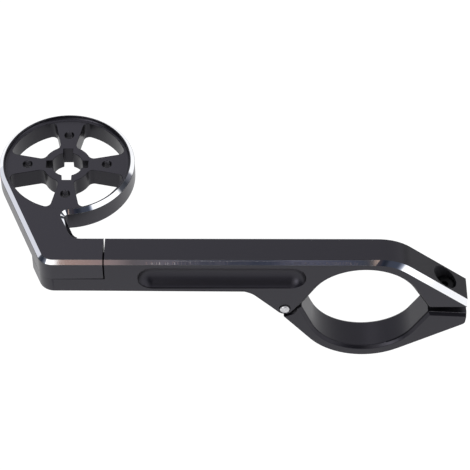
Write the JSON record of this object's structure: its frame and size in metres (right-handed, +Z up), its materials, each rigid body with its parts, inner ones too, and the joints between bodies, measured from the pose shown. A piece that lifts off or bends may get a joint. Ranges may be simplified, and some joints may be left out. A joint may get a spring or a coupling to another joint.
{
  "type": "bike computer mount",
  "caption": "Out-front arm that clamps round a bicycle handlebar with a hinged jaw and bolt, and carries a round open head for a computer.",
  "frame": {"origin": "centre of the handlebar bore in the arm's half of the clamp, midway across the arm", "axes": "+X along the arm from the head to the clamp's lips, +Y along the handlebar towards the side that the head is on, +Z up"},
  "size_m": [0.1347, 0.0584, 0.0418],
  "materials": {
    "arm_aluminium": "matte black anodised with bright cut edges",
    "head_aluminium": "matte black anodised with bright cut edges",
    "jaw_aluminium": "matte black anodised",
    "pin_steel": "bright steel",
    "bolt_steel": "black oxide",
    "screw_steel": "black oxide"
  },
  "bodies": {
    "mount_body": {"arm": "arm_aluminium", "head_plate": "head_aluminium", "hinge_pin": "pin_steel", "head_screw_1": "screw_steel", "head_screw_2": "screw_steel"},
    "jaw": {"lower_jaw": "jaw_aluminium"},
    "bolt": {"clamp_bolt": "bolt_steel"}
  },
  "joints": [
    {"name": "jaw_hinge", "type": "hinge", "parent": "mount_body", "child": "jaw", "pos_m": [-0.0225, 0, -0.00063], "axis": [0, 1, 0], "range_deg": [-3.5, 80]},
    {"name": "bolt_turn", "type": "hinge", "parent": "mount_body", "child": "bolt", "pos_m": [0.02291, 0, 0], "axis": [0, 0, 1], "continuous": true}
  ]
}
